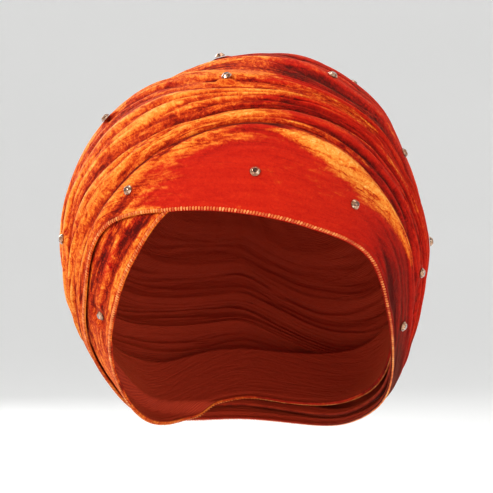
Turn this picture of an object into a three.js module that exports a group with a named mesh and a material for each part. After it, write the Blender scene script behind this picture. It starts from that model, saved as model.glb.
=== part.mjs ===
// Turban headwrap: a pleated velvet crown that closes at the back of the head, an under wrap
// that shows at the wearer's right temple, and a smooth front band that crosses over both,
// with flat-backed rhinestones set on the cloth.
//
// Millimetres, +Z up, the face towards -Y. The origin is the seat: the inside of the crown
// straight above the centre of the head, where the top of the head carries the wrap.
//
// Every place on the cloth is a direction from the centre of the head, given by two angles
// about the closing point at the back: "turn" goes round the closing point (0 over the top of
// the head to the face, 90 to the wearer's left, 180 down to the nape) and "reach" is the
// angle away from it. The cloth lies at the head form's distance in that direction.
import * as THREE from 'three';

const CLOTH = 2.0;
const FRONT_DEPTH = 119;
const BACK_DEPTH = 101;
const SQUARENESS = 2.15;
const CLOSING_HEIGHT = 24;
const DEGREE = Math.PI / 180;

// The outline from the front: distance from the centre of the head, for each angle from
// straight up, on the side of -X and the side of +X.
const OUTLINE = [
  { angle: 0, minusX: 98.3, plusX: 98.3 },
  { angle: 15, minusX: 95.6, plusX: 101 },
  { angle: 30, minusX: 95.6, plusX: 101 },
  { angle: 45, minusX: 96.2, plusX: 99 },
  { angle: 60, minusX: 95.4, plusX: 93.8 },
  { angle: 75, minusX: 95.0, plusX: 92.6 },
  { angle: 90, minusX: 94.2, plusX: 94.2 },
  { angle: 105, minusX: 94.6, plusX: 94.8 },
  { angle: 120, minusX: 95.2, plusX: 98.0 },
  { angle: 135, minusX: 98.6, plusX: 105.0 },
  { angle: 150, minusX: 106.0, plusX: 107.0 },
  { angle: 165, minusX: 109.0, plusX: 109.5 },
  { angle: 180, minusX: 109.0, plusX: 109.0 },
];

// Where each line of the cloth runs: its reach at each of these turns.
const TURNS = {
  front: 0, p30: 30, p60: 60, p90: 90, p120: 120, p147: 147, p165: 165,
  nape: 180, m165: -165, m147: -147, m120: -120, m90: -90, m60: -60, m30: -30,
};
const BAND_HEM = {
  front: 146.6, p30: 146.2, p60: 140.8, p90: 138, p120: 127, p147: 103, p165: 86,
  nape: 81, m165: 84.5, m147: 97, m120: 114, m90: 128.5, m60: 130.5, m30: 141.5,
};
const UNDER_HEM = {
  front: 134, p30: 134, p60: 129, p90: 126, p120: 116, p147: 96, p165: 82,
  nape: 77, m165: 85, m147: 108, m120: 128.5, m90: 141, m60: 143.6, m30: 140.5,
};
const UNDER_TOP = {
  front: 98, p30: 98, p60: 93, p90: 91, p120: 84, p147: 70, p165: 62,
  nape: 59, m165: 62, m147: 76, m120: 96, m90: 106, m60: 108, m30: 104,
};

// The valleys between the pleats of the crown, from the top edge of the band to the closing
// point, and how far each valley lies below the crests beside it.
const VALLEYS = [
  {
    depth: 3.2, front: 122, p30: 122.5, p60: 122, p90: 122, p120: 116, p147: 97, p165: 79.5,
    nape: 73, m165: 76, m147: 87, m120: 106, m90: 122, m60: 125.5, m30: 124.5,
  },
  {
    depth: 3.0, front: 116, p30: 113.3, p60: 108.5, p90: 112, p120: 108, p147: 88, p165: 72,
    nape: 65, m165: 67.5, m147: 78, m120: 98, m90: 112, m60: 111.5, m30: 116,
  },
  {
    depth: 2.2, front: 106, p30: 107.5, p60: 103, p90: 104, p120: 101, p147: 80, p165: 64,
    nape: 57, m165: 59.5, m147: 69, m120: 88, m90: 100, m60: 92, m30: 93.5,
  },
  {
    depth: 3.2, front: 93, p30: 102, p60: 97, p90: 96, p120: 93, p147: 71, p165: 56,
    nape: 49, m165: 51, m147: 59, m120: 76, m90: 80, m60: 68, m30: 70,
  },
  {
    depth: 2.6, front: 50, p30: 58, p60: 66, p90: 78, p120: 80, p147: 61, p165: 47,
    nape: 40, m165: 41.5, m147: 48, m120: 60, m90: 60, m60: 48, m30: 42,
  },
  {
    depth: 2.8, front: 34, p30: 41, p60: 50, p90: 60, p120: 63, p147: 48, p165: 37,
    nape: 31, m165: 31.5, m147: 36, m120: 44, m90: 43, m60: 34, m30: 29,
  },
  {
    depth: 2.4, front: 18, p30: 23, p60: 30, p90: 38, p120: 41, p147: 32, p165: 24,
    nape: 19, m165: 19.5, m147: 22, m120: 27, m90: 26, m60: 20, m30: 16,
  },
];

// The band from its hem to its top edge: share of the width, and height of its face above
// the head form. The top edge is rolled, and the hem is a little thicker than the cloth.
const BAND_FACE = [
  { share: 0, height: -0.9 },
  { share: 0.05, height: 0 },
  { share: 0.14, height: -0.5 },
  { share: 0.45, height: -0.5 },
  { share: 0.74, height: -0.3 },
  { share: 0.86, height: 0.8 },
  { share: 0.96, height: 0.7 },
  { share: 1, height: -0.5 },
];
const BAND_BACK_SHARES = [1, 0.8, 0.4, 0.05];

// The under wrap from its hem inwards: share of the width, and height of its folds.
const UNDER_FACE = [
  { share: 0, height: -0.5 },
  { share: 0.04, height: 0.3 },
  { share: 0.13, height: -0.7 },
  { share: 0.21, height: 0.6 },
  { share: 0.3, height: -0.6 },
  { share: 0.4, height: 0.6 },
  { share: 0.52, height: -0.3 },
  { share: 0.75, height: 0 },
  { share: 1, height: 0 },
];
const UNDER_DEPTH = 6.9;
const UNDER_SHOWN_RISE = 1.9;
const UNDER_RISE_WIDTH = 8;

// The crown's lower margin runs on beneath the band.
const MARGIN_MOST = 7;
const MARGIN_SHARE = 0.6;

const BAND_COLUMNS = 60;
const UNDER_COLUMNS = 48;
const CROWN_COLUMNS = 48;
const ROWS_PER_PLEAT = 4;
const CLOSING_GATHER = 30;

// Rhinestones: turn and reach of each, by the cloth it is set on.
const STONES = [
  { on: 'band', turn: 3.6, reach: 136.8 },
  { on: 'band', turn: 42.5, reach: 134.3 },
  { on: 'band', turn: -42, reach: 129.8 },
  { on: 'band', turn: 100, reach: 129 },
  { on: 'crown', turn: -5, reach: 101 },
  { on: 'crown', turn: 25, reach: 90 },
  { on: 'crown', turn: 58, reach: 88 },
  { on: 'crown', turn: 86, reach: 117 },
  { on: 'crown', turn: -47, reach: 83 },
  { on: 'crown', turn: -80, reach: 106 },
  { on: 'under', turn: -95, reach: 133.5 },
  { on: 'crown', turn: -8, reach: 68 },
  { on: 'crown', turn: 38, reach: 64 },
  { on: 'crown', turn: -44, reach: 52 },
  { on: 'crown', turn: -88, reach: 70 },
  { on: 'crown', turn: 90, reach: 87 },
  { on: 'crown', turn: 4, reach: 42 },
  { on: 'crown', turn: 76, reach: 58 },
  { on: 'crown', turn: -74, reach: 31 },
  { on: 'crown', turn: -122, reach: 52 },
  { on: 'crown', turn: -118, reach: 83 },
  { on: 'crown', turn: 126, reach: 94 },
  { on: 'crown', turn: 118, reach: 58 },
  { on: 'crown', turn: 166, reach: 42 },
  { on: 'crown', turn: -166, reach: 56 },
  { on: 'crown', turn: 152, reach: 72 },
];
const STONE_RADIUS = 2.6;
const STONE_TABLE_RADIUS = 1.4;
const STONE_GIRDLE = 0.5;
const STONE_HEIGHT = 1.8;
const STONE_SIDES = 8;
const GAP = 0.3;

// A smooth closed curve through values at given angles, in degrees.
function closedCurve(knots) {
  const sorted = [...knots].sort((a, b) => a.at - b.at);
  const count = sorted.length;
  const knot = (i) => {
    const round = Math.floor(i / count);
    const own = sorted[i - round * count];
    return { at: own.at + 360 * round, value: own.value };
  };
  const slope = (i) => (knot(i + 1).value - knot(i - 1).value) / (knot(i + 1).at - knot(i - 1).at);
  return (angle) => {
    const start = sorted[0].at;
    const at = start + ((((angle - start) % 360) + 360) % 360);
    let i = 0;
    while (knot(i + 1).at <= at) {
      i += 1;
    }
    const span = knot(i + 1).at - knot(i).at;
    const t = (at - knot(i).at) / span;
    const rest = 1 - t;
    return (1 + 2 * t) * rest * rest * knot(i).value
      + t * t * (3 - 2 * t) * knot(i + 1).value
      + t * rest * rest * span * slope(i)
      - t * t * rest * span * slope(i + 1);
  };
}

const lineOf = (row) => closedCurve(
  Object.entries(TURNS).map(([name, at]) => ({ at, value: row[name] })),
);
const outline = closedCurve([
  ...OUTLINE.map((row) => ({ at: row.angle, value: row.plusX })),
  ...OUTLINE.slice(1, -1).map((row) => ({ at: -row.angle, value: row.minusX })),
]);
const bandHem = lineOf(BAND_HEM);
const underHem = lineOf(UNDER_HEM);
const underTop = lineOf(UNDER_TOP);
const valleys = VALLEYS.map((row) => ({ depth: row.depth, reach: lineOf(row) }));
const bandTop = valleys[0].reach;

const CLOSING = new THREE.Vector3(0, Math.cos(CLOSING_HEIGHT * DEGREE), Math.sin(CLOSING_HEIGHT * DEGREE));
const OVER_TOP = new THREE.Vector3(0, -CLOSING.z, CLOSING.y);
const SIDE = new THREE.Vector3(1, 0, 0);

function direction(turn, reach) {
  const across = OVER_TOP.clone().multiplyScalar(Math.cos(turn * DEGREE))
    .addScaledVector(SIDE, Math.sin(turn * DEGREE));
  return CLOSING.clone().multiplyScalar(Math.cos(reach * DEGREE))
    .addScaledVector(across, Math.sin(reach * DEGREE));
}

// Distance from the centre to the head form: the front outline, rounded off front and back.
function formDistance(way) {
  const upright = Math.hypot(way.x, way.z);
  const outlineReach = outline(Math.atan2(way.x, way.z) / DEGREE);
  const depth = way.y < 0 ? FRONT_DEPTH : BACK_DEPTH;
  const sum = (upright / outlineReach) ** SQUARENESS + (Math.abs(way.y) / depth) ** SQUARENESS;
  return sum ** (-1 / SQUARENESS);
}

function place(turn, reach, height) {
  const way = direction(turn, reach);
  return way.multiplyScalar(formDistance(way) + height);
}

const mix = (a, b, t) => a + (b - a) * t;

function tableValue(rows, share) {
  const next = Math.max(1, rows.findIndex((row) => row.share >= share));
  const [low, high] = [rows[next - 1], rows[next]];
  return mix(low.height, high.height, (share - low.share) / (high.share - low.share));
}

// Heights of the three faces of cloth above the head form.
function crownHeight(turn, reach) {
  const edges = [...valleys.map((valley) => valley.reach(turn)), 0];
  const depths = [...valleys.map((valley) => valley.depth), 1];
  const next = edges.findIndex((edge) => edge <= reach);
  if (next === 0) {
    return -depths[0];
  }
  const t = (edges[next - 1] - reach) / (edges[next - 1] - edges[next]);
  const depth = mix(depths[next - 1], depths[next], t) * Math.min(1, reach / CLOSING_GATHER);
  return -depth * Math.abs(2 * t - 1) ** 2.5;
}

function bandHeight(turn, reach) {
  const share = (bandHem(turn) - reach) / (bandHem(turn) - bandTop(turn));
  return tableValue(BAND_FACE, share);
}

function underHeight(turn, reach) {
  const share = (underHem(turn) - reach) / (underHem(turn) - underTop(turn));
  const shown = THREE.MathUtils.smoothstep(reach - bandHem(turn), 0, UNDER_RISE_WIDTH);
  return tableValue(UNDER_FACE, share) - UNDER_DEPTH + UNDER_SHOWN_RISE * shown;
}

// Closes a run of cross-sections, one for each turn, into a skin. Places that all sections
// share, such as the closing point, are single corners.
function skin(sections) {
  const corners = [];
  const numbers = new Map();
  const number = (point) => {
    const key = point.toArray().map((value) => value.toFixed(4)).join();
    if (!numbers.has(key)) {
      numbers.set(key, corners.length / 3);
      corners.push(...point.toArray());
    }
    return numbers.get(key);
  };
  const rings = sections.map((section) => section.map(number));
  const faces = [];
  rings.forEach((ring, i) => {
    const beside = rings[(i + 1) % rings.length];
    ring.forEach((a, j) => {
      const k = (j + 1) % ring.length;
      const [b, c, d] = [ring[k], beside[k], beside[j]];
      [[a, c, b], [a, d, c]]
        .filter((face) => new Set(face).size === 3)
        .forEach((face) => faces.push(...face));
    });
  });
  const geometry = new THREE.BufferGeometry();
  geometry.setAttribute('position', new THREE.Float32BufferAttribute(corners, 3));
  geometry.setIndex(faces);
  geometry.computeVertexNormals();
  return geometry;
}

const turnsOf = (columns) => Array.from({ length: columns }, (_, i) => (360 * i) / columns);

function crownSection(turn) {
  const edges = [...valleys.map((valley) => valley.reach(turn)), 0];
  const width = bandHem(turn) - edges[0];
  const margin = Math.min(MARGIN_MOST, MARGIN_SHARE * width);
  const reaches = [edges[0] + margin, edges[0] + margin / 2];
  for (let pleat = 0; pleat < valleys.length; pleat += 1) {
    for (let row = 0; row < ROWS_PER_PLEAT; row += 1) {
      reaches.push(mix(edges[pleat], edges[pleat + 1], row / ROWS_PER_PLEAT));
    }
  }
  reaches.push(0);
  const face = reaches.map((reach) => place(turn, reach, crownHeight(turn, reach)));
  const back = reaches.map((reach) => place(turn, reach, crownHeight(turn, reach) - CLOTH));
  return [...face, ...back.reverse()];
}

function bandSection(turn) {
  const hem = bandHem(turn);
  const reachOf = (share) => mix(hem, bandTop(turn), share);
  const face = BAND_FACE.map((row) => place(turn, reachOf(row.share), row.height));
  const back = BAND_BACK_SHARES.map((share) => place(turn, reachOf(share), -CLOTH - 0.4));
  return [...face, ...back];
}

function underSection(turn) {
  const reaches = UNDER_FACE.map((row) => mix(underHem(turn), underTop(turn), row.share));
  const face = reaches.map((reach) => place(turn, reach, underHeight(turn, reach)));
  const back = reaches.slice(1).map((reach) => place(turn, reach, underHeight(turn, reach) - CLOTH));
  return [...face, ...back.reverse()];
}

const heights = { crown: crownHeight, band: bandHeight, under: underHeight };

// The stone's flat back lies square to the cloth, clear of every fold beneath it.
function stonePlace(stone) {
  const height = heights[stone.on];
  const surface = (turn, reach) => place(turn, reach, height(turn, reach));
  const form = (turn, reach) => place(turn, reach, 0);
  const along = form(stone.turn, stone.reach + 1).sub(form(stone.turn, stone.reach - 1));
  const across = form(stone.turn + 1, stone.reach).sub(form(stone.turn - 1, stone.reach));
  const centre = surface(stone.turn, stone.reach);
  const normal = along.cross(across).normalize();
  normal.multiplyScalar(Math.sign(normal.dot(centre)));
  const spread = (STONE_RADIUS + 0.4) / centre.length() / DEGREE;
  let clear = 0;
  for (let corner = 0; corner < 2 * STONE_SIDES; corner += 1) {
    const angle = (Math.PI * corner) / STONE_SIDES;
    const turn = stone.turn + (spread * Math.cos(angle)) / Math.sin(stone.reach * DEGREE);
    const beside = surface(turn, stone.reach + spread * Math.sin(angle));
    clear = Math.max(clear, beside.sub(centre).dot(normal));
  }
  return { centre: centre.addScaledVector(normal, clear + GAP), normal };
}

function stoneGeometry() {
  const profile = [
    [0, 0],
    [STONE_RADIUS, 0],
    [STONE_RADIUS, STONE_GIRDLE],
    [STONE_TABLE_RADIUS, STONE_HEIGHT],
    [0, STONE_HEIGHT],
  ].map(([x, y]) => new THREE.Vector2(x, y));
  return new THREE.LatheGeometry(profile, STONE_SIDES);
}

const velvet = (colour) => new THREE.MeshStandardMaterial({ color: colour, roughness: 0.8, metalness: 0 });
const crystal = () => new THREE.MeshStandardMaterial({ color: 0xe8dccf, roughness: 0.15, metalness: 0.4 });

function piece(name, geometry, material) {
  const mesh = new THREE.Mesh(geometry, material);
  mesh.name = name;
  return mesh;
}

const headwrap = new THREE.Group();
headwrap.name = 'turban_headwrap';
headwrap.add(piece('crown_wrap', skin(turnsOf(CROWN_COLUMNS).map(crownSection)), velvet(0xe0501c)));
headwrap.add(piece('under_wrap', skin(turnsOf(UNDER_COLUMNS).map(underSection)), velvet(0xe8762c)));
headwrap.add(piece('front_band', skin(turnsOf(BAND_COLUMNS).map(bandSection)), velvet(0xd6240c)));

STONES.forEach((stone, i) => {
  const name = `rhinestone_${String(i + 1).padStart(2, '0')}`;
  const mesh = piece(name, stoneGeometry(), crystal());
  const { centre, normal } = stonePlace(stone);
  mesh.position.copy(centre);
  mesh.quaternion.setFromUnitVectors(new THREE.Vector3(0, 1, 0), normal);
  headwrap.add(mesh);
});

// The seat is the inside of the crown straight above the centre of the head.
const seatReach = 90 - CLOSING_HEIGHT;
const seatHeight = formDistance(direction(0, seatReach)) + crownHeight(0, seatReach) - CLOTH;
headwrap.position.set(0, 0, -seatHeight);

export default headwrap;
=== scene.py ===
"""Turban headwrap: crushed velvet wound into pleats, with a smooth front band and rhinestones.

Every place on the cloth is a direction from the centre of the head. "turn" goes round the
point at the back where the pleats close (0 over the top of the head to the face, 90 to the
wearer's left, 180 down to the nape), and "reach" is the angle away from that point.
"""
import math

import bpy
import numpy as np
from mathutils import Matrix, Vector


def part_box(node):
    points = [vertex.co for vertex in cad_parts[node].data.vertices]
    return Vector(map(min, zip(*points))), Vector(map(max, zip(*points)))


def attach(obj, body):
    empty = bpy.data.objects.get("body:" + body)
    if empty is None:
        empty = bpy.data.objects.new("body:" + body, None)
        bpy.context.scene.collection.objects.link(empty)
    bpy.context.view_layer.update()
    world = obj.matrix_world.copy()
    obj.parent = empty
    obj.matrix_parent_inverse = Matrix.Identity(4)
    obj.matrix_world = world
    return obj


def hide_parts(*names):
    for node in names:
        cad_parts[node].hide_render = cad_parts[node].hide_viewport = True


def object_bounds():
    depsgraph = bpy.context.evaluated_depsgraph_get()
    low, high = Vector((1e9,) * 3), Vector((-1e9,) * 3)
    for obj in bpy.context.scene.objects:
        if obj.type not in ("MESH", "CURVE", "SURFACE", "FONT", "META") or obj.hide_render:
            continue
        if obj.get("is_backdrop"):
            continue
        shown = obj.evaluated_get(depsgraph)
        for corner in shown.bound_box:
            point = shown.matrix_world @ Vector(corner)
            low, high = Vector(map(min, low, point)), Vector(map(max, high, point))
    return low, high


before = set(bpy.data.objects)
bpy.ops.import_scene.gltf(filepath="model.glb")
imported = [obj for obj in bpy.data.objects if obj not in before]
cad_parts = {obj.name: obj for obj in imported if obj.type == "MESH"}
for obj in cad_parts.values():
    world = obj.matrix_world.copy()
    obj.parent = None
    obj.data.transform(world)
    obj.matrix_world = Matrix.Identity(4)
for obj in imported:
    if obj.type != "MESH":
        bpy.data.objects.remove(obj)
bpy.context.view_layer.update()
MM = 0.001

# --------------------------------------------------------------------------------------
# The form of the head
# --------------------------------------------------------------------------------------

FRONT_DEPTH = 119 * MM
BACK_DEPTH = 101 * MM
SQUARENESS = 2.15
CLOSING_HEIGHT = math.radians(24)
WALL = 1.7 * MM

# The outline from the front, every 15 degrees round from straight up over +X and back.
OUTLINE_STEP = 15
OUTLINE = MM * np.array([
    98.3, 101, 101, 99, 93.8, 92.6, 94.2, 94.8, 98, 105, 107, 109.5,
    109, 109, 106, 98.6, 95.2, 94.6, 94.2, 95, 95.4, 96.2, 95.6, 95.6,
])

# The lines of the cloth: the reach of each at these turns, from the front round over the
# wearer's left side and the nape to the right side.
TURNS = (0, 30, 60, 90, 120, 147, 165, 180, 195, 213, 240, 270, 300, 330)
BAND_HEM = (146.6, 146.2, 140.8, 138, 127, 103, 86, 81, 84.5, 97, 114, 128.5, 130.5, 141.5)
UNDER_HEM = (134, 134, 129, 126, 116, 96, 82, 77, 85, 108, 128.5, 141, 143.6, 140.5)
UNDER_TOP = (98, 98, 93, 91, 84, 70, 62, 59, 62, 76, 96, 106, 108, 104)
VALLEYS = (
    (122, 122.5, 122, 122, 116, 97, 79.5, 73, 76, 87, 106, 122, 125.5, 124.5),
    (116, 113.3, 108.5, 112, 108, 88, 72, 65, 67.5, 78, 98, 112, 111.5, 116),
    (106, 107.5, 103, 104, 101, 80, 64, 57, 59.5, 69, 88, 100, 92, 93.5),
    (93, 102, 97, 96, 93, 71, 56, 49, 51, 59, 76, 80, 68, 70),
    (50, 58, 66, 78, 80, 61, 47, 40, 41.5, 48, 60, 60, 48, 42),
    (34, 41, 50, 60, 63, 48, 37, 31, 31.5, 36, 44, 43, 34, 29),
    (18, 23, 30, 38, 41, 32, 24, 19, 19.5, 22, 27, 26, 20, 16),
)
VALLEY_DEPTHS = MM * np.array([3.4, 3.6, 2.6, 3.6, 2.8, 3.0, 2.6, 1.0])


def closed_curve(at, values):
    """A smooth closed curve through values at rising angles, in degrees."""
    at = np.concatenate([np.array(at, float) - 360, at, np.array(at, float) + 360])
    values = np.tile(np.array(values, float), 3)
    slopes = np.gradient(values) / np.gradient(at)

    def curve(angle):
        angle = np.mod(angle, 360)
        i = np.searchsorted(at, angle, side="right") - 1
        span = at[i + 1] - at[i]
        t = (angle - at[i]) / span
        rest = 1 - t
        return ((1 + 2 * t) * rest**2 * values[i] + t**2 * (3 - 2 * t) * values[i + 1]
                + t * rest**2 * span * slopes[i] - t**2 * rest * span * slopes[i + 1])
    return curve


outline = closed_curve(np.arange(0, 360, OUTLINE_STEP), OUTLINE)
band_hem = closed_curve(TURNS, BAND_HEM)
under_hem = closed_curve(TURNS, UNDER_HEM)
under_top = closed_curve(TURNS, UNDER_TOP)
valleys = [closed_curve(TURNS, row) for row in VALLEYS]
band_top = valleys[0]

CLOSING = np.array([0, math.cos(CLOSING_HEIGHT), math.sin(CLOSING_HEIGHT)])
OVER_TOP = np.array([0, -CLOSING[2], CLOSING[1]])


def direction(turn, reach):
    turn, reach = np.radians(turn)[..., None], np.radians(reach)[..., None]
    across = np.cos(turn) * OVER_TOP + np.sin(turn) * np.array([1.0, 0, 0])
    return np.cos(reach) * CLOSING + np.sin(reach) * across


def form_distance(way):
    """Distance from the centre to the head form: the front outline, rounded off in depth."""
    upright = np.hypot(way[..., 0], way[..., 2])
    edge = outline(np.degrees(np.arctan2(way[..., 0], way[..., 2])))
    depth = np.where(way[..., 1] < 0, FRONT_DEPTH, BACK_DEPTH)
    return ((upright / edge) ** SQUARENESS
            + (np.abs(way[..., 1]) / depth) ** SQUARENESS) ** (-1 / SQUARENESS)


def place(turn, reach, height):
    way = direction(turn, reach)
    return CENTRE + way * (form_distance(way) + height)[..., None]


def crown_top():
    turn, reach = np.meshgrid(np.arange(-40, 41.0), np.arange(40, 90.0))
    way = direction(turn, reach)
    return (way[..., 2] * form_distance(way)).max()


CENTRE = np.array([0, 0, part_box("crown_wrap")[1].z - crown_top()])

# --------------------------------------------------------------------------------------
# Creases
# --------------------------------------------------------------------------------------


def smoothstep(low, high, value):
    t = np.clip((value - low) / (high - low), 0, 1)
    return t * t * (3 - 2 * t)


def wave_noise(turn, across, turns_round, seed):
    """Smooth noise from -1 to 1 that closes up after one whole turn: turns_round cells round
    the head, one cell for each unit of across."""
    rng = np.random.default_rng(seed)
    rows = 256
    lattice = rng.uniform(-1, 1, (rows, turns_round))
    u = np.mod(turn, 360) / 360 * turns_round
    v = across + rows / 2
    i, j = np.floor(u).astype(int), np.floor(v).astype(int)
    fu, fv = u - i, v - j
    fu, fv = fu**3 * (fu * (6 * fu - 15) + 10), fv**3 * (fv * (6 * fv - 15) + 10)

    def corner(a, b):
        return lattice[np.mod(j + b, rows), np.mod(i + a, turns_round)]
    low = corner(0, 0) * (1 - fu) + corner(1, 0) * fu
    high = corner(0, 1) * (1 - fu) + corner(1, 1) * fu
    return low * (1 - fv) + high * fv


CREASE_SHARPNESS = 4.0


def folds(turn, across, width, turns_round, seed):
    """Long gathers that run round the head and wander: 0 on their crests, 1 in the sharp
    creases between them. width is that of one gather, in the units of across."""
    u = across / width + 1.3 * wave_noise(turn, across / (2.6 * width), turns_round, seed)
    u = u + 0.35 * wave_noise(turn, across / width, 2 * turns_round, seed + 1)
    patches = wave_noise(turn, across / (1.7 * width), turns_round, seed + 2)
    strength = 0.35 + 0.65 * smoothstep(-0.5, 0.4, patches)
    return (1 - np.abs(np.sin(np.pi * u))) ** 1.15 * strength


def creases(turn, across, turns_round, seed):
    """Long thin creases: 1 along their bottoms and 0 on the cloth between them."""
    wander = wave_noise(turn, across, turns_round, seed)
    shown = smoothstep(-0.1, 0.5, wave_noise(turn, across * 0.6, turns_round * 2, seed + 1))
    return np.exp(-(wander * CREASE_SHARPNESS) ** 2) * shown


# --------------------------------------------------------------------------------------
# Seats of the rhinestones
# --------------------------------------------------------------------------------------

STONE_GAP = 0.35 * MM
SEAT_FLAT = 3.2 * MM
SEAT_FADE = 8 * MM
SEAT_DEPTH = 2.6 * MM


def rhinestone_seat(node):
    """The middle of a stone's flat back and the way the stone faces, from its solid."""
    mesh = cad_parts[node].data
    faces = {}
    for polygon in mesh.polygons:
        key = tuple(round(c, 2) for c in polygon.normal)
        area, middle, normal = faces.get(key, (0, Vector(), Vector()))
        faces[key] = (area + polygon.area, middle + polygon.center * polygon.area,
                      normal + polygon.normal * polygon.area)
    area, middle, normal = max(faces.values(), key=lambda face: face[0])
    return np.array(middle / area), -np.array(normal.normalized())


STONES = [name for name in sorted(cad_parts) if name.startswith("rhinestone")]
SEATS = [rhinestone_seat(name) for name in STONES]


def settle_under_stones(points):
    """The cloth lies flat against the back of each stone that is set on it."""
    for middle, facing in SEATS:
        offset = points - middle
        distance = np.linalg.norm(offset, axis=-1)
        above = offset @ facing
        near = 1 - smoothstep(SEAT_FLAT, SEAT_FADE, distance)
        near = np.where(np.abs(above) < SEAT_DEPTH, near, 0)
        points = points - (near * (above + STONE_GAP))[..., None] * facing
    return points


# --------------------------------------------------------------------------------------
# Cloth
# --------------------------------------------------------------------------------------

# The length of cloth in one degree of reach, and the radius of the cloth's own measure.
DEGREE_LENGTH = 1.7 * MM
CLOTH_RADIUS = 90 * MM


def cloth_piece(name, face, back, closed_end, fields, space):
    """A closed piece of cloth from a grid of places on its face and one on its back, rows by
    columns, where the columns go round the head. fields are values at each place that the
    velvet reads, and space is each place in the cloth's own measure."""
    rows, columns = face.shape[:2]
    ring = np.arange(columns)
    beside = np.roll(ring, -1)

    def strip(low, high):
        return np.stack([low[ring], low[beside], high[beside], high[ring]], -1).tolist()
    face_ids = np.arange(rows * columns).reshape(rows, columns)
    back_ids = face_ids + rows * columns
    faces = strip(back_ids[0], face_ids[0])
    for i in range(rows - 1):
        faces += strip(face_ids[i], face_ids[i + 1])
        faces += strip(back_ids[i + 1], back_ids[i])
    if closed_end:
        faces.append(face_ids[-1].tolist())
        faces.append(back_ids[-1][::-1].tolist())
    else:
        faces += strip(face_ids[-1], back_ids[-1])
    points = np.concatenate([face.reshape(-1, 3), back.reshape(-1, 3)])
    mesh = bpy.data.meshes.new(name)
    mesh.from_pydata(points.tolist(), [], faces)
    for field, values in fields.items():
        attribute = mesh.attributes.new(field, "FLOAT", "POINT")
        attribute.data.foreach_set("value", np.tile(values.ravel(), 2).astype(np.float32))
    space = np.tile(space.reshape(-1, 3), (2, 1)).astype(np.float32)
    attribute = mesh.attributes.new("cloth_place", "FLOAT_VECTOR", "POINT")
    attribute.data.foreach_set("vector", space.ravel())
    wrong_side = mesh.attributes.new("wrong_side", "FLOAT", "POINT")
    wrong_side.data.foreach_set("value", np.repeat([0.0, 1.0], rows * columns).astype(np.float32))
    if signed_volume(mesh) < 0:
        mesh.flip_normals()
    mesh.shade_smooth()
    piece = bpy.data.objects.new(name, mesh)
    bpy.context.scene.collection.objects.link(piece)
    return piece


def signed_volume(mesh):
    mesh.calc_loop_triangles()
    corners = np.array([v.co for v in mesh.vertices])
    triangles = np.array([t.vertices[:] for t in mesh.loop_triangles])
    a, b, c = (corners[triangles[:, k]] for k in range(3))
    return np.einsum("ij,ij->i", a, np.cross(b, c)).sum() / 6


def cloth_space(turn, across):
    """The cloth's own measure: round the head on a circle, so that it has no join, and
    across the folds, both in metres."""
    angle = np.radians(turn)
    return np.stack([CLOTH_RADIUS * np.cos(angle), CLOTH_RADIUS * np.sin(angle),
                     across * DEGREE_LENGTH], -1)


# How much darker the pile looks where the cloth turns in below the wearer's left ear.
EAR_SHADE = 0.4


def ear_shade(places):
    low = smoothstep(-128 * MM, -168 * MM, places[..., 2])
    return EAR_SHADE * (low * smoothstep(10 * MM, 50 * MM, places[..., 0]))


def signed_side(turn):
    """The turn from -180 to 180, with the wearer's left side above 0."""
    return np.mod(turn + 180, 360) - 180


# --------------------------------------------------------------------------------------
# Crown
# --------------------------------------------------------------------------------------

# Rows of each pleat, from the top edge of the band to the closing point at the back.
PLEAT_ROWS = (18, 20, 22, 48, 26, 22, 20)
CROWN_COLUMNS = 262
DEEPEST = -5.6 * MM
CROWN_LIFT = 0.3 * MM

# The margin of cloth that goes down behind the band.
MARGIN_ROWS = 6
MARGIN_MOST = 7
MARGIN_SHARE = 0.6

# Folds that run along the pleats: their depths, and widths in degrees of reach.
GATHER_DEPTH, GATHER_WIDTH = 2.2 * MM, 4.1
PINCH_DEPTH, PINCH_WIDTH = 1.25 * MM, 1.9
BROAD_DEPTH, BROAD_WIDTH = 2.0 * MM, 8.0
CREASE_DEPTH, CREASE_WIDTH = 0.7 * MM, 3.4
SWELL_HEIGHT, SWELL_WIDTH = 0.6 * MM, 8
RIPPLE_HEIGHT, RIPPLE_WIDTH = 0.3 * MM, 2.5

# The pleats fade towards the closing point, where the cloth is drawn in with small tucks.
CLOSING_GATHER = 30
END_REACH = 0.8
CLOSING_TUCKS = 17
CLOSING_FROM = 13
CLOSING_TO = 40
TUCK_DEPTH = 2.2 * MM
CLOSING_DIMPLE = 2.4 * MM
DIMPLE_REACH = 4.5


def pleat_drop(turn, reach, pleat, k, low, high):
    """How far the cloth lies below the crests: it falls into the valley on either side."""
    gap = low - high
    below = np.clip(1 - (low - reach) / np.minimum(0.6 * gap, 12), 0, 1) ** 1.7
    above = np.clip(1 - (reach - high) / np.minimum(0.4 * gap, 7), 0, 1) ** 2.3
    wander = 1 + 0.2 * wave_noise(turn, pleat[:, None].round() * 3.7 + 0 * turn, 9, 3)
    depth = VALLEY_DEPTHS[k][:, None] * below + VALLEY_DEPTHS[k + 1][:, None] * above
    return depth * wander * smoothstep(0, CLOSING_GATHER, reach)


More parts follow.
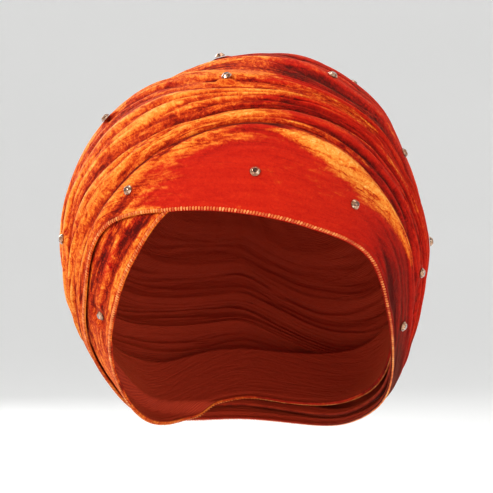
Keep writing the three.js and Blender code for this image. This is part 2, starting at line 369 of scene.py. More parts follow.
def crown_folds(turn, reach, across, gap, from_band, drop):
    """The depth of everything finer than the pleats."""
    open_cloth = 1 - 0.6 * np.clip(drop / (3 * MM), 0, 1)
    gathers = folds(turn, across, GATHER_WIDTH, 7, 11)
    pinches = folds(turn, across, PINCH_WIDTH, 13, 21)
    broad = folds(turn, across, BROAD_WIDTH, 5, 13) * smoothstep(12, 24, gap)
    in_front = smoothstep(50, 80, reach) * (1 - smoothstep(110, 160, np.abs(signed_side(turn))))
    beside_band = 1 - smoothstep(8, 26, from_band)
    pinches = pinches * (0.3 + 0.7 * in_front * (1 + 0.4 * beside_band))
    fine = (GATHER_DEPTH * gathers + PINCH_DEPTH * pinches + BROAD_DEPTH * broad) * open_cloth
    thin = CREASE_DEPTH * creases(turn, across / CREASE_WIDTH, 15, 27) * open_cloth
    fine = (fine + thin) * (0.15 + 0.85 * smoothstep(0, CLOSING_GATHER, reach))
    fine = fine * (0.8 + 0.2 * in_front)
    drawn_in = 1 - smoothstep(CLOSING_FROM, CLOSING_TO, reach)
    tuck = turn / 360 * CLOSING_TUCKS + 0.45 * wave_noise(turn, across / 9, 14, 93)
    tuck = (1 - np.abs(np.sin(np.pi * tuck))) * smoothstep(0.5, 7, reach) * drawn_in
    dimple = np.exp(-(reach / DIMPLE_REACH) ** 2)
    return fine * (1 - 0.8 * drawn_in) + TUCK_DEPTH * tuck + CLOSING_DIMPLE * dimple


def crown_painted_sheen(face, turn, across):
    """Painted sheen, where the pile shows orange as if it caught the light: on the wearer's right
    side, which faces the key lamp, and in gleams and random patches elsewhere."""
    x = face[..., 0] + 14 * MM * wave_noise(turn, across / 9, 7, 41)
    front = smoothstep(-25 * MM, -60 * MM, face[..., 1])
    lit_front = 1 - smoothstep(-6 * MM, 36 * MM, x)
    lit_back = np.clip(0.5 + 0.45 * wave_noise(turn, across / 11, 9, 43) - 6 * x, 0.1, 1)
    lit_side = 0.92 * smoothstep(8 * MM, -46 * MM, x)
    lit_side = lit_side + 0.12 * wave_noise(turn, across / 7, 14, 45)
    painted_sheen = lit_front * front + np.maximum(lit_back, lit_side) * (1 - front)
    patches = wave_noise(turn, across / 6, 10, 47) * smoothstep(0.2, 0.5, lit_front)
    gleams = smoothstep(0.0, 0.5, wave_noise(turn, across / 2.2, 12, 49))
    gleams = gleams * (1 - lit_front) * front
    return np.clip(painted_sheen + 0.25 * patches - 0.05 + 0.62 * gleams, 0, 1)


def crown_cloth():
    turn = np.arange(CROWN_COLUMNS) * 360 / CROWN_COLUMNS
    edges = np.stack([valley(turn) for valley in valleys] + [np.full_like(turn, END_REACH)])
    pleat = np.concatenate([np.arange(n) / n + k for k, n in enumerate(PLEAT_ROWS)]
                           + [[len(PLEAT_ROWS)]])
    k = np.minimum(pleat.astype(int), len(PLEAT_ROWS) - 1)
    low, high = edges[k], edges[k + 1]
    reach = low + (high - low) * (pleat - k)[:, None]
    turn = np.broadcast_to(turn, reach.shape)
    spread = np.concatenate([[0], np.cumsum(-np.diff(reach.mean(1)))])[:, None]
    across = np.broadcast_to(spread, reach.shape)

    drop = pleat_drop(turn, reach, pleat, k, low, high)
    fine = crown_folds(turn, reach, across, low - high, edges[0] - reach, drop)
    fade = smoothstep(0, CLOSING_GATHER, reach)
    swell = SWELL_HEIGHT * wave_noise(turn, across / SWELL_WIDTH, 9, 31) * fade
    swell += RIPPLE_HEIGHT * wave_noise(turn, across / RIPPLE_WIDTH, 20, 37) * fade
    height = np.maximum(swell - 1.1 * drop - fine + CROWN_LIFT, DEEPEST)
    # Painted light: darker in the pleats' valleys and fine creases, lighter on the crests.
    painted_light = np.clip(1.04 - (drop * 0.6 + fine * 0.95) / (3.0 * MM), 0, 1)

    top, hem = edges[0], band_hem(turn[0])
    margin = np.minimum(MARGIN_MOST, MARGIN_SHARE * (hem - top))
    tucked = np.linspace(1, 0, MARGIN_ROWS, endpoint=False)[:, None] * margin + top
    reach = np.concatenate([tucked, reach])
    tucked_height = np.broadcast_to(-VALLEY_DEPTHS[0] - CROWN_LIFT, tucked.shape)
    blend = np.linspace(0, 1, MARGIN_ROWS, endpoint=False)[:, None]
    height = np.concatenate([tucked_height * (1 - blend) + height[:1] * blend, height])
    turn = np.broadcast_to(turn[0], reach.shape)
    across = np.concatenate([top - tucked, across])
    # The margin tucked behind the band is painted fully in shade.
    painted_light = np.concatenate([np.zeros(tucked.shape), painted_light])

    face = settle_under_stones(place(turn, reach, height))
    outward = face - CENTRE
    back = face - WALL * outward / np.linalg.norm(outward, axis=-1)[..., None]
    fields = {"painted_light": np.clip(painted_light - ear_shade(face), 0, 1),
              "painted_sheen": crown_painted_sheen(face, turn, across)}
    return cloth_piece("crown_cloth", face, back, True, fields, cloth_space(turn, across))


# --------------------------------------------------------------------------------------
# Hems
# --------------------------------------------------------------------------------------

# The bead of turned cloth along a hem, and how far its rounded nose stands past the edge,
# in degrees of reach.
HEM_FROM_EDGE = 1.5 * MM
HEM_WIDTH = 1.2 * MM
HEM_BEAD = 0.55 * MM
NOSE = 0.45


def ridge(distance, middle, width):
    """A soft ridge, 1 along its middle."""
    return np.exp(-((distance - middle) / width) ** 2)


# --------------------------------------------------------------------------------------
# Band
# --------------------------------------------------------------------------------------

BAND_COLUMNS = 340
BAND_ROWS = 46
BAND_WALL = 1.3 * MM
BAND_LOWERED = 0.5 * MM
BAND_DEEPEST = -2.1 * MM
CLOSER_AT_EDGES = 0.35

# The roll along the top edge, the edge itself, and the line that the hem stitches press in.
ROLL_FROM_EDGE, ROLL_WIDTH, ROLL_HEIGHT = 3.8 * MM, 2.5 * MM, 1.7 * MM
EDGE_WIDTH, EDGE_DEPTH = 1.1 * MM, 0.6 * MM
STITCH_LINE, STITCH_LINE_WIDTH, STITCH_LINE_DEPTH = 3.6 * MM, 0.5 * MM, 0.25 * MM

# Creases at both ends of the band: depths, and widths in degrees of reach.
BAND_FOLD_DEPTH, BAND_FOLD_WIDTH = 0.75 * MM, 3.3
BAND_CREASE_DEPTH, BAND_CREASE_WIDTH = 0.3 * MM, 1.6
BAND_SWELL = 0.2 * MM

# The orange streak where the rolled edge catches the light.
STREAK_FROM_EDGE = 4.4 * MM
STREAK_WIDTH = 7.5 * MM
STREAK_LEAST = 0.4 * MM


def band_painted_sheen(face, turn, across, share, from_top):
    """Painted sheen, where the pile shows orange as if it caught the light: in the streak, above
    the brow and at the wearer's right.
    """
    side = signed_side(turn)
    wide = STREAK_WIDTH * smoothstep(2, 36, side) * (1 - smoothstep(44, 84, side)) + STREAK_LEAST
    streak = ridge(from_top, STREAK_FROM_EDGE, wide)
    streak = streak * smoothstep(2, 16, side) * (1 - smoothstep(70, 86, side)) * 1.7
    upper = smoothstep(0.6, 0.85, share) * smoothstep(-75, -40, side)
    upper = upper * (1 - smoothstep(-12, 12, side)) * 0.75
    x = face[..., 0] + 9 * MM * wave_noise(turn, across / 3, 18, 73)
    end = (1 - smoothstep(-58 * MM, -30 * MM, x)) * 0.75
    return np.clip(np.maximum.reduce([streak, upper, end]), 0, 1.3)


def band_cloth():
    turn = np.arange(BAND_COLUMNS) * 360 / BAND_COLUMNS
    hem, top = band_hem(turn), band_top(turn)
    share = np.linspace(0, 1, BAND_ROWS)
    share = (share - CLOSER_AT_EDGES * np.sin(2 * np.pi * share) / (2 * np.pi))[:, None]
    reach = hem + (top - hem) * share
    turn = np.broadcast_to(turn, reach.shape)
    side = signed_side(turn)
    across, from_fold = hem - reach, reach - top
    from_hem, from_top = across * DEGREE_LENGTH, from_fold * DEGREE_LENGTH

    rolled = 0.45 + 0.55 * smoothstep(4, 22, side) * (1 - smoothstep(95, 130, side))
    roll = ROLL_HEIGHT * rolled * ridge(from_top, ROLL_FROM_EDGE, ROLL_WIDTH)
    bead = HEM_BEAD * ridge(from_hem, HEM_FROM_EDGE, HEM_WIDTH)
    edge = EDGE_DEPTH * ridge(from_top, 0, EDGE_WIDTH)
    stitch_line = STITCH_LINE_DEPTH * ridge(from_hem, STITCH_LINE, STITCH_LINE_WIDTH)
    upper_left = smoothstep(0.5, 0.85, share) * (1 - smoothstep(8, 30, side))
    left_end = 1 - smoothstep(-48, -26, side)
    right_end = smoothstep(46, 74, side) * (1 - smoothstep(160, 178, side)) * 0.8
    creased = np.clip(0.06 + upper_left + left_end + right_end, 0, 1)
    creased = creased * smoothstep(0.03, 0.14, share)
    fine = (BAND_FOLD_DEPTH * folds(turn, from_fold, BAND_FOLD_WIDTH, 9, 51)
            + BAND_CREASE_DEPTH * folds(turn, from_fold, BAND_CREASE_WIDTH, 15, 55)) * creased
    swell = (BAND_SWELL * wave_noise(turn, across / 6, 12, 61)
             + BAND_SWELL * creased * wave_noise(turn, from_fold / 3, 9, 67))
    height = -BAND_LOWERED + roll + bead - edge - fine
    height = height + swell * smoothstep(0, 0.2, share) - stitch_line
    height = np.maximum(height, BAND_DEEPEST)

    def lined(rows, past, depth):
        """The rows with one more at each edge, past it by so much and so deep in the cloth."""
        low = place(turn[:1], reach[:1] + past, height[:1] - depth)
        high = place(turn[:1], reach[-1:] - past, height[-1:] - depth)
        return np.concatenate([low, rows, high])

    def padded(values):
        return np.concatenate([values[:1], values, values[-1:]])
    shown = settle_under_stones(place(turn, reach, height))
    face = lined(shown, NOSE, BAND_WALL / 2)
    inner = lined(place(turn, reach, height - BAND_WALL), NOSE * 0.7, BAND_WALL * 0.8)

    # Painted shade: where the band turns away round the wearer's left side, in its creases and
    # along its top edge.
    turned_away_shade = 0.36 * smoothstep(34, 84, side) * (1 - smoothstep(150, 175, side))
    turned_away_shade = turned_away_shade * (1 - smoothstep(0.7, 0.9, share))
    painted_light = padded(np.clip(1 - turned_away_shade - (fine * 1.3 + edge * 1.2) / (1.6 * MM), 0, 1))
    # Darker streaks of painted crease shade at the band's left end.
    streaked_shade = wave_noise(turn, from_fold / 2.2, 9, 77)
    streaked_shade = 0.5 * left_end * smoothstep(0.0, 0.55, streaked_shade)
    fields = {"painted_light": np.clip(painted_light - ear_shade(face) - padded(streaked_shade), 0, 1),
              "painted_sheen": padded(band_painted_sheen(shown, turn, across, share, from_top))}
    space = cloth_space(padded(turn), padded(across))
    return cloth_piece("band_cloth", face, inner, False, fields, space)


# --------------------------------------------------------------------------------------
# Under wrap
# --------------------------------------------------------------------------------------

UNDER_COLUMNS = 300
UNDER_ROWS = 56
CLOSER_AT_HEM = 1.35

# How deep the hidden part lies, how far the part that shows rises from there, and how far it
# falls again towards its hem.
UNDER_DEPTH = 8.0 * MM
UNDER_SHOWN_RISE = 5.6 * MM
UNDER_HEM_FALL = 1.2 * MM

# Ridges along the temple, with their width in degrees of reach, and what is finer.
UNDER_RIDGE, UNDER_RIDGE_WIDTH = 0.8 * MM, 5.2
UNDER_CREASE_DEPTH, UNDER_FOLD_DEPTH, UNDER_SWELL = 0.6 * MM, 0.4 * MM, 0.4 * MM


def under_rise(turn, reach):
    """The under wrap comes up to the back of the band where it shows past the band's hem."""
    past = reach - band_hem(turn)
    return (-UNDER_DEPTH + UNDER_SHOWN_RISE * smoothstep(-2.2, -0.1, past)
            - UNDER_HEM_FALL * smoothstep(2, 12, past))


def under_cloth():
    turn = np.arange(UNDER_COLUMNS) * 360 / UNDER_COLUMNS
    hem, top = under_hem(turn), under_top(turn)
    share = (np.linspace(0, 1, UNDER_ROWS) ** CLOSER_AT_HEM)[:, None]
    reach = hem + (top - hem) * share
    turn = np.broadcast_to(turn, reach.shape)
    side = signed_side(turn)
    across = hem - reach

    bead = HEM_BEAD * ridge(across * DEGREE_LENGTH, HEM_FROM_EDGE, HEM_WIDTH)
    folded = smoothstep(-112, -78, side) * (1 - smoothstep(-30, -20, side))
    shown_part = 0.15 + 0.85 * smoothstep(0.5, 4.5, reach - band_hem(turn))
    wander = wave_noise(turn, across / 7, 20, 81)
    ridges = UNDER_RIDGE * folded * np.sin(2 * np.pi * across / UNDER_RIDGE_WIDTH + wander)
    ridges *= smoothstep(0, 3, across) * shown_part
    fine = (UNDER_CREASE_DEPTH * creases(turn, across / 3, 18, 83)
            + UNDER_FOLD_DEPTH * folds(turn, across, 2.2, 17, 87))
    swell = UNDER_SWELL * wave_noise(turn, across / 5, 14, 89) * smoothstep(0, 3, across)
    height = bead + ridges + (swell - fine) * shown_part + under_rise(turn, reach)

    nose = place(turn[:1], reach[:1] + NOSE, height[:1] - WALL / 2)
    face = np.concatenate([nose, settle_under_stones(place(turn, reach, height))])
    inner = place(turn, reach, height - WALL)
    inner = np.concatenate([inner[:1], inner])

    def padded(values):
        return np.concatenate([values[:1], values])
    # Painted light: lighter on the ridges and darker in the creases.
    painted_light = np.clip(0.75 + ridges / (2.4 * MM) - fine / (1.5 * MM), 0, 1)
    # Painted sheen over most of the under wrap, varying at random, less in its folds and on the
    # wearer's left side, which faces away from the key lamp.
    right = smoothstep(20, 80, side) * (1 - smoothstep(170, 180, side))
    painted_sheen = 0.8 + 0.3 * wave_noise(turn, across / 4, 22, 91)
    painted_sheen = np.clip(painted_sheen - 0.2 * folded * smoothstep(1, 5, across) - 0.7 * right, 0, 1)
    fields = {"painted_light": padded(painted_light), "painted_sheen": padded(painted_sheen)}
    space = cloth_space(padded(turn), padded(across))
    return cloth_piece("under_cloth", face, inner, False, fields, space)


# --------------------------------------------------------------------------------------
# Overlocked edges
# --------------------------------------------------------------------------------------

STITCH_PITCH = 1.5 * MM
STITCH_REACH = 1.7 * MM
STITCH_THICKNESS = 0.56 * MM
STITCH_HEIGHT = 0.55 * MM
STITCH_SLANT = 0.8 * MM
STITCH_PAST_EDGE = 0.25
STITCH_SIDES = 6
STITCH_STEPS = 6
HEM_RADIUS = 0.1
HEM_STEP = 0.25


def overlock(name, hem, lift):
    """Thread wrapped over the edge of the cloth, one slanted loop for each stitch."""
    fine = np.arange(0, 360, HEM_STEP)
    edge = place(fine, hem(fine), lift(fine))
    run = np.concatenate([[0], np.cumsum(np.linalg.norm(np.roll(edge, -1, 0) - edge, axis=1))])
    count = int(run[-1] / STITCH_PITCH)
    at = np.interp(np.arange(count) * run[-1] / count, run, np.append(fine, 360))
    t = np.linspace(0, 1, STITCH_STEPS)
    angle = np.arange(STITCH_SIDES) * 2 * np.pi / STITCH_SIDES
    rng = np.random.default_rng(97)
    points, faces, shades = [], [], []
    for turn in at:
        slant = STITCH_SLANT * rng.uniform(0.7, 1.3)
        reach_in = STITCH_REACH * rng.uniform(0.9, 1.1)
        along = np.degrees(slant * (t - 0.5) / (HEM_RADIUS * math.sin(math.radians(hem(turn)))))
        reach = hem(turn) - reach_in * t / DEGREE_LENGTH + STITCH_PAST_EDGE
        rise = lift(turn) + STITCH_HEIGHT * np.sin(np.pi * np.clip(t * 1.15, 0, 1)) ** 0.6
        line = place(turn + along, reach, rise)
        forward = np.gradient(line, axis=0)
        forward /= np.linalg.norm(forward, axis=1)[:, None]
        out = line - CENTRE
        out -= (out * forward).sum(1)[:, None] * forward
        out /= np.linalg.norm(out, axis=1)[:, None]
        sideways = np.cross(forward, out)
        thick = STITCH_THICKNESS * (0.55 + 0.45 * np.sin(np.pi * t))
        section = (np.cos(angle)[None, :, None] * sideways[:, None]
                   + 0.6 * np.sin(angle)[None, :, None] * out[:, None])
        ring = line[:, None] + thick[:, None, None] * section
        start = len(points)
        points += ring.reshape(-1, 3).tolist()
        shades += [rng.uniform()] * ring.shape[0] * STITCH_SIDES
        for i in range(STITCH_STEPS - 1):
            for j in range(STITCH_SIDES):
                a = start + i * STITCH_SIDES + j
                b = start + i * STITCH_SIDES + (j + 1) % STITCH_SIDES
                faces.append((a, b, b + STITCH_SIDES, a + STITCH_SIDES))
        end = start + (STITCH_STEPS - 1) * STITCH_SIDES
        faces.append(tuple(start + j for j in reversed(range(STITCH_SIDES))))
        faces.append(tuple(end + j for j in range(STITCH_SIDES)))
    mesh = bpy.data.meshes.new(name)
    mesh.from_pydata(points, [], faces)
    shade = mesh.attributes.new("thread_shade", "FLOAT", "POINT")
    shade.data.foreach_set("value", np.array(shades, np.float32))
    if signed_volume(mesh) < 0:
        mesh.flip_normals()
    mesh.shade_smooth()
    piece = bpy.data.objects.new(name, mesh)
    bpy.context.scene.collection.objects.link(piece)
    return piece


# --------------------------------------------------------------------------------------
# Rhinestones
# --------------------------------------------------------------------------------------

STONE_RADIUS = 2.6 * MM
STONE_TABLE = 1.35 * MM
STONE_GIRDLE = 0.5 * MM
STONE_HEIGHT = 1.8 * MM
STONE_SIDES = 16
CORNER_CUT = 0.09 * MM


def cut_stone(materials):
    """One foiled stone, table up, with its flat back on the ground plane."""
    bpy.ops.object.select_all(action="DESELECT")
    bpy.ops.mesh.primitive_cylinder_add(vertices=STONE_SIDES, radius=STONE_RADIUS,
                                        depth=STONE_GIRDLE, location=(0, 0, STONE_GIRDLE / 2))
    stone = bpy.context.object
    bpy.ops.object.mode_set(mode="EDIT")
    bpy.ops.mesh.select_all(action="DESELECT")
    bpy.ops.object.mode_set(mode="OBJECT")
    for face in stone.data.polygons:
        face.select = face.normal.z > 0.9
    bpy.ops.object.mode_set(mode="EDIT")
    bpy.ops.mesh.extrude_region_move(
        TRANSFORM_OT_translate={"value": (0, 0, STONE_HEIGHT - STONE_GIRDLE)})
    size = STONE_TABLE / STONE_RADIUS
    bpy.ops.transform.resize(value=(size, size, 1), center_override=(0, 0, STONE_HEIGHT))
    turned = math.pi / STONE_SIDES
    bpy.ops.transform.rotate(value=turned, orient_axis="Z", center_override=(0, 0, STONE_HEIGHT))
    bpy.ops.object.mode_set(mode="OBJECT")
    bevel = stone.modifiers.new("cut corners", "BEVEL")
    bevel.width = CORNER_CUT
    bevel.segments = 1
    bpy.ops.object.modifier_apply(modifier=bevel.name)
    bpy.ops.object.transform_apply(location=True)
    for material in materials:
        stone.data.materials.append(material)
    for face in stone.data.polygons:
        face.material_index = int(face.normal.z > 0.95 and face.center.z > STONE_HEIGHT * 0.9)
    return stone


def set_stone(stone, node, middle, facing):
    """A copy of the cut stone, turned to face out from the cloth at its seat."""
    turn = Vector(facing).to_track_quat("Z", "Y").to_matrix().to_4x4()
    piece = bpy.data.objects.new("crystal_" + node[-2:], stone.data.copy())
    piece.data.transform(turn)
    piece.data.transform(Matrix.Translation(Vector(middle)))
    bpy.context.scene.collection.objects.link(piece)
    return piece


# --------------------------------------------------------------------------------------
# Materials
# --------------------------------------------------------------------------------------


class Value:
    """A shader value that adds Math nodes where it is used in an expression."""

    def __init__(self, shader, socket):
        self.shader = shader
        self.socket = socket

    def maths(self, operation, *others):
        return self.shader.node("ShaderNodeMath", {"operation": operation},
                                dict(enumerate((self,) + others)))

    def __add__(self, other):
        return self.maths("ADD", other)

    def __sub__(self, other):
        return self.maths("SUBTRACT", other)

    def __rsub__(self, other):
        return self.shader.node("ShaderNodeMath", {"operation": "SUBTRACT"}, {0: other, 1: self})

    def __mul__(self, other):
        return self.maths("MULTIPLY", other)

    def within(self, low, high):
        return self.maths("MAXIMUM", low).maths("MINIMUM", high)

    def between(self, low, high, start=0.0, end=1.0):
        """This value from low..high turned into start..end, with a soft start and end."""
        return self.shader.node("ShaderNodeMapRange", {"interpolation_type": "SMOOTHSTEP"}, {
            "Value": self, "From Min": low, "From Max": high, "To Min": start, "To Max": end})

    __radd__ = __add__
    __rmul__ = __mul__


class Shader:
    """The nodes of one material."""

    def __init__(self, name):
        self.material = bpy.data.materials.new(name)
        self.material.use_nodes = True
        self.tree = self.material.node_tree
        self.surface = self.tree.nodes["Principled BSDF"]

    def node(self, kind, settings, values, result=0):
        made = self.tree.nodes.new(kind)
        for name, setting in settings.items():
            setattr(made, name, setting)
        for name, value in values.items():
            self.feed(made.inputs[name], value)
        return Value(self, made.outputs[result])

    def feed(self, socket, value):
        if isinstance(value, Value):
            self.tree.links.new(value.socket, socket)
        else:
            socket.default_value = value

    def set(self, **values):
        for name, value in values.items():
            self.feed(self.surface.inputs[name.replace("_", " ")], value)

    def stored(self, name, result="Fac"):
        return self.node("ShaderNodeAttribute", {"attribute_name": name}, {}, result=result)

    def noise(self, vector, scale, detail=3.0, roughness=0.55, stretch=(1, 1, 1), distortion=0.0):
        placed = self.node("ShaderNodeMapping", {}, {"Vector": vector, "Scale": stretch})
        return self.node("ShaderNodeTexNoise", {}, {
            "Vector": placed, "Scale": scale, "Detail": detail, "Roughness": roughness,
            "Distortion": distortion})

    def mix(self, share, a, b):
        return self.node("ShaderNodeMix", {"data_type": "RGBA"}, {0: share, 6: a, 7: b}, result=2)

    def ramp(self, share, stops):
        """share turned into a colour, through stops of a position and a colour."""
        made = self.node("ShaderNodeValToRGB", {}, {"Fac": share})
        elements = made.socket.node.color_ramp.elements
        while len(elements) < len(stops):
            elements.new(0.5)
        for element, (position, colour) in zip(elements, stops):
            element.position = position
            element.color = paint(*colour)
        return made

    def object_place(self):
        return self.node("ShaderNodeTexCoord", {}, {}, result="Object")

    def bands(self, vector, direction, scale, distortion):
        return self.node("ShaderNodeTexWave", {"wave_type": "BANDS", "bands_direction": direction},
                         {"Vector": vector, "Scale": scale, "Distortion": distortion,
                          "Detail": 1.0}, result=1)

    def bump(self, height, strength, distance, normal=None):
        values = {"Height": height, "Strength": strength, "Distance": distance}
        if normal:
            values["Normal"] = normal
        return self.node("ShaderNodeBump", {}, values)


def paint(*parts):
    """A colour for a socket, from its red, green and blue parts as a screen shows them."""
    def linear(part):
        part = part / 255
        return part / 12.92 if part <= 0.04045 else ((part + 0.055) / 1.055) ** 2.4
    return (*(linear(part) for part in parts), 1)


# The velvet's face: deep red where one looks into the pile, and painted sheen, orange, where the
# pile would catch the light.
INTO_PILE = (
    (0.0, (78, 5, 0)), (0.2, (134, 9, 0)), (0.42, (184, 20, 1)), (0.56, (202, 32, 3)),
    (0.72, (224, 70, 18)), (0.88, (240, 124, 54)), (1.0, (250, 160, 90)))
SHEEN_PILE = (
    (0.0, (104, 11, 0)), (0.2, (160, 30, 1)), (0.38, (204, 62, 9)), (0.54, (233, 109, 27)),
    (0.72, (247, 147, 50)), (0.86, (255, 170, 74)), (1.0, (255, 200, 116)))


def velvet(name, dark, crushed):
    """Crushed velvet, deep red where one looks into the pile, with painted sheen: orange where
    the pile would catch the light, in streaks along the folds, and painted shade in the folds'
    valleys. dark takes colour off all over, as painted shade, and crushed is how far the pile
    is crushed."""
    s = Shader(name)
    cloth = s.stored("cloth_place", "Vector")
    painted_light = s.stored("painted_light")
    painted_sheen = s.stored("painted_sheen")
    wrong_side = s.stored("wrong_side")

    streaks = s.noise(cloth, 1, 3, 0.62, (42, 42, 170), 0.9)
    threads = s.noise(cloth, 1, 3, 0.65, (130, 130, 560), 0.6)
    crush = s.noise(cloth, 1, 4, 0.72, (150, 150, 250), 2.2)
    specks = s.noise(cloth, 1, 3, 0.72, (330, 330, 470), 1.8)
    nap = s.noise(cloth, 700, 2, 0.6)
    pile = s.noise(cloth, 2400, 1, 0.5)
    # Thin creases, bumped into the cloth and darkened with painted shade.
    line = s.noise(cloth, 1, 2, 0.55, (24, 24, 130), 0.9)
    line = (line - 0.5).maths("ABSOLUTE").between(0.0, 0.08, 1.0, 0.0)
    amount = (painted_sheen + 0.52 * crushed).within(0, 1)
    pinch = s.noise(cloth, 1, 2, 0.5, (17, 17, 250), 0.7)
    pinch = (pinch - 0.5).maths("ABSOLUTE").between(0.0, 0.07, 1.0, 0.0)
    pinch = pinch * streaks.between(0.36, 0.58) * amount

    # How far the colour goes over to the painted sheen, with the crushed pattern.
    sheen_share = painted_sheen + (streaks - 0.5) * 1.5 + (threads - 0.5) * 0.5 + (crush - 0.5) * 0.7
    # The ramp position: painted sheen, painted light of the folds, the crushed pattern, nap and
    # pile, and painted shade in the thin creases.
    shade = 0.50 + painted_sheen * 0.20 + (painted_light - 0.80) * 0.72 + (threads - 0.5) * 0.30 * crushed
    shade = shade + (streaks - 0.5) * 0.40 * crushed + (crush - 0.5) * 0.62 * amount
    shade = shade + (specks - 0.5) * 0.95 * amount
    shade = shade + (nap - 0.5) * 0.16 + (pile - 0.5) * 0.16
    shade = shade - line * amount * 0.13 - pinch * 0.24 - dark
    right_side = s.mix(sheen_share.between(0.2, 0.8), s.ramp(shade, INTO_PILE), s.ramp(shade, SHEEN_PILE))

    wales = s.bands(cloth, "Z", 420.0, 1.5)
    backing = s.mix(wales, paint(140, 30, 14), paint(186, 62, 32))
    backing = s.mix(crush.between(0.3, 0.7), backing, paint(170, 50, 26))
    colour = s.mix(wrong_side, right_side, backing)

    lie = s.bump(threads, 0.35, 0.6 * MM)
    lie = s.bump(line * -0.4 - pinch * 0.5 + crush + specks * 0.7, 0.55, 0.8 * MM, lie)
    lie = s.bump(pile, 0.3, 0.12 * MM, lie)
    s.set(Base_Color=colour, Roughness=shade.between(0.1, 0.95, 0.9, 0.62), Normal=lie)
    s.set(Sheen_Weight=0.18, Sheen_Roughness=0.34, Sheen_Tint=paint(255, 116, 44),
          Specular_IOR_Level=0.12)
    return s.material


THREAD = ((0.0, (156, 34, 6)), (0.4, (210, 82, 24)), (0.7, (240, 132, 56)), (1.0, (252, 172, 98)))


def stitch_thread():
    s = Shader("overlock_thread")
    place_on = s.object_place()
    plies = s.bands(place_on, "DIAGONAL", 900.0, 2.0)
    worn = s.noise(place_on, 60, 3)
    mixed = (s.stored("thread_shade") * 0.5 + worn * 0.6 + plies * 0.15).within(0, 1)
    s.set(Base_Color=s.ramp(mixed, THREAD), Roughness=plies.between(0, 1, 0.4, 0.6),
          Normal=s.bump(plies, 0.5, 0.12 * MM))
    s.set(Specular_IOR_Level=0.4)
    return s.material


# Foiled glass: painted glints and a painted reflection of the cloth on its sloping facets, and
# painted dark depths with a few paler spots where one looks down through its flat top.
FOIL_AND_GLINTS = ((0.0, (74, 42, 22)), (0.35, (152, 100, 66)), (0.7, (204, 154, 116)), (1.0, (242, 210, 182)))
PAINTED_DEPTHS = ((0.0, (34, 12, 4)), (0.5, (76, 36, 16)), (0.8, (124, 70, 40)), (1.0, (196, 146, 110)))


def stone_facets():
    s = Shader("crystal_facets")
    # Random facets of painted glints.
    sparkle = s.node("ShaderNodeTexVoronoi", {"feature": "F1"},
                     {"Vector": s.object_place(), "Scale": 900.0, "Randomness": 1.0}, result=1)
    split = s.node("ShaderNodeSeparateColor", {}, {"Color": sparkle})
    s.set(Base_Color=s.ramp(split, FOIL_AND_GLINTS), Metallic=split.between(0, 1, 0.35, 0.85),
          Roughness=split.between(0, 1, 0.08, 0.25))
    s.set(Coat_Weight=1.0, Coat_Roughness=0.03)
    return s.material


def stone_table():
    s = Shader("crystal_table")
    # Painted depths, dark with a few paler spots.
    depth = s.noise(s.object_place(), 500, 2)
    s.set(Base_Color=s.ramp(depth.between(0.25, 0.8), PAINTED_DEPTHS),
          Roughness=depth.between(0.2, 0.8, 0.04, 0.12))
    s.set(Coat_Weight=1.0, Coat_Roughness=0.02)
    return s.material


BACKDROP_GLOW = 0.25


def backdrop_paint():
    s = Shader("pale_backdrop")
    grain = s.noise(s.object_place(), 3, 3)
    s.set(Base_Color=s.mix(grain, paint(228, 228, 227), paint(234, 234, 233)), Roughness=0.9)
    s.set(Emission_Color=(1, 1, 1, 1), Emission_Strength=BACKDROP_GLOW)
    return s.material


# --------------------------------------------------------------------------------------
# The headwrap
# --------------------------------------------------------------------------------------

HEM_LIFT = -0.6 * MM
UNDER_HEM_LIFT = -0.1 * MM

crown = crown_cloth()
under = under_cloth()
band = band_cloth()
crown.data.materials.append(velvet("crown_crushed_velvet", 0.0, 1.0))
# The under wrap and the band are darker copies of the velvet: painted shade over the whole piece.
under.data.materials.append(velvet("under_crushed_velvet", 0.09, 1.1))
band.data.materials.append(velvet("band_crushed_velvet", 0.13, 0.40))

band_stitches = overlock("band_hem_stitches", band_hem, lambda turn: 0 * turn + HEM_LIFT)
under_stitches = overlock("under_hem_stitches", under_hem,
                          lambda turn: under_rise(turn, under_hem(turn)) + UNDER_HEM_LIFT)
thread = stitch_thread()
for piece, slot in ((band_stitches, "band_velvet"), (under_stitches, "under_velvet")):
    piece.data.materials.append(thread)
    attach(piece, "root")

# Each cloth with the solid that it stands for, its slot, the size it was cut to, its flat area
# where it was cut to a curve, and what is sewn to it.
for piece, node, slot, flat, area, sewn in (
        (crown, "crown_wrap", "crown_velvet", (0.50, 0.25), None, []),
        (under, "under_wrap", "under_velvet", (0.56, 0.075), None, [under_stitches]),
        (band, "front_band", "band_velvet", (0.58, 0.052), 0.0165, [band_stitches])):
    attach(piece, "root")
    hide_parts(node)

stone = cut_stone([stone_facets(), stone_table()])
for node, (middle, facing) in zip(STONES, SEATS):
    crystal = set_stone(stone, node, middle, facing)
    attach(crystal, "root")
    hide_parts(node)
bpy.data.objects.remove(stone)

# --------------------------------------------------------------------------------------
# Floor, light and camera
# --------------------------------------------------------------------------------------

FLOOR_DROP = 0.06
BACKDROP_RADIUS = 5.6
BACKDROP_BEND = 2.8
BACKDROP_TOP = 6.0
BACKDROP_SIDES = 96
BEND_STEPS = 16

# Soft lamps: where each one stands, its width and its power.
LAMPS = {
    "key": ((-1.1, -0.95, 0.85), 0.4, 14.5),
    "fill": ((0.9, -1.5, 0.1), 1.1, 9),
    "top": ((0.1, 0.2, 1.2), 1.0, 6),
    "back": ((-0.6, 1.1, 0.4), 1.0, 7),
}
WORLD_STRENGTH = 0.26

LENS = 400
SENSOR = 36
FRAME_SHARE = 0.80
CAMERA_RAISED = math.radians(1.2)


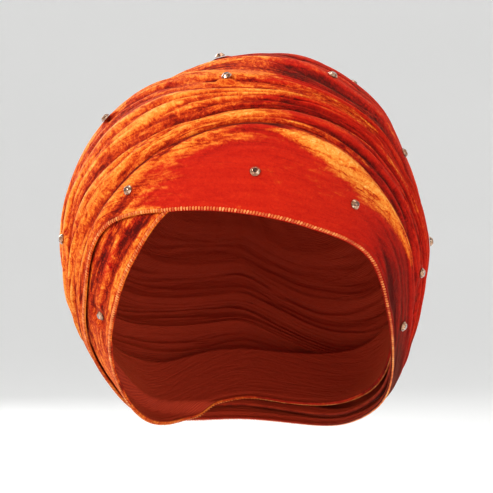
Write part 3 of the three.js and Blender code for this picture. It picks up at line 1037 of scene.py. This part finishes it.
def backdrop():
    """A round floor that curves up into a wall on every side."""
    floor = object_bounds()[0].z - FLOOR_DROP
    straight = BACKDROP_RADIUS - BACKDROP_BEND
    bend = [math.pi / 2 * i / BEND_STEPS for i in range(BEND_STEPS + 1)]
    profile = [(straight + BACKDROP_BEND * math.sin(a), floor + BACKDROP_BEND * (1 - math.cos(a)))
               for a in bend] + [(BACKDROP_RADIUS, floor + BACKDROP_TOP)]
    round_floor = [2 * math.pi * i / BACKDROP_SIDES for i in range(BACKDROP_SIDES)]
    points = [(r * math.cos(a), r * math.sin(a), z) for r, z in profile for a in round_floor]
    faces = [tuple(range(BACKDROP_SIDES))]
    for row in range(len(profile) - 1):
        for i in range(BACKDROP_SIDES):
            beside = (i + 1) % BACKDROP_SIDES
            low, high = row * BACKDROP_SIDES, (row + 1) * BACKDROP_SIDES
            faces.append((low + beside, low + i, high + i, high + beside))
    mesh = bpy.data.meshes.new("backdrop")
    mesh.from_pydata(points, [], faces)
    mesh.shade_smooth()
    mesh.materials.append(backdrop_paint())
    piece = bpy.data.objects.new("backdrop", mesh)
    bpy.context.scene.collection.objects.link(piece)
    return piece


def soft_light(name, place_at, size, power):
    data = bpy.data.lights.new(name, "AREA")
    data.shape = "DISK"
    data.size = size
    data.energy = power
    light = bpy.data.objects.new(name, data)
    light.location = place_at
    low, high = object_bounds()
    light.rotation_euler = ((low + high) / 2 - Vector(place_at)).to_track_quat("-Z", "Y").to_euler()
    bpy.context.scene.collection.objects.link(light)


backdrop()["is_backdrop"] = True
for lamp, (place_at, size, power) in LAMPS.items():
    soft_light(lamp, place_at, size, power)

world = bpy.data.worlds.new("studio")
bpy.context.scene.world = world
world.use_nodes = True
background = world.node_tree.nodes["Background"]
background.inputs["Color"].default_value = (1, 1, 1, 1)
background.inputs["Strength"].default_value = WORLD_STRENGTH
bpy.context.scene.view_settings.view_transform = "Standard"

low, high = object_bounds()
middle = (low + high) / 2
camera_data = bpy.data.cameras.new("camera")
camera_data.lens = LENS
camera_data.sensor_width = SENSOR
camera = bpy.data.objects.new("camera", camera_data)
widest = max(high.x - low.x, high.z - low.z)
distance = widest / FRAME_SHARE * LENS / SENSOR
camera.location = (middle.x, low.y - distance, middle.z + distance * math.tan(CAMERA_RAISED))
camera.rotation_euler = (math.pi / 2 - CAMERA_RAISED, 0, 0)
bpy.context.scene.collection.objects.link(camera)
bpy.context.scene.camera = camera
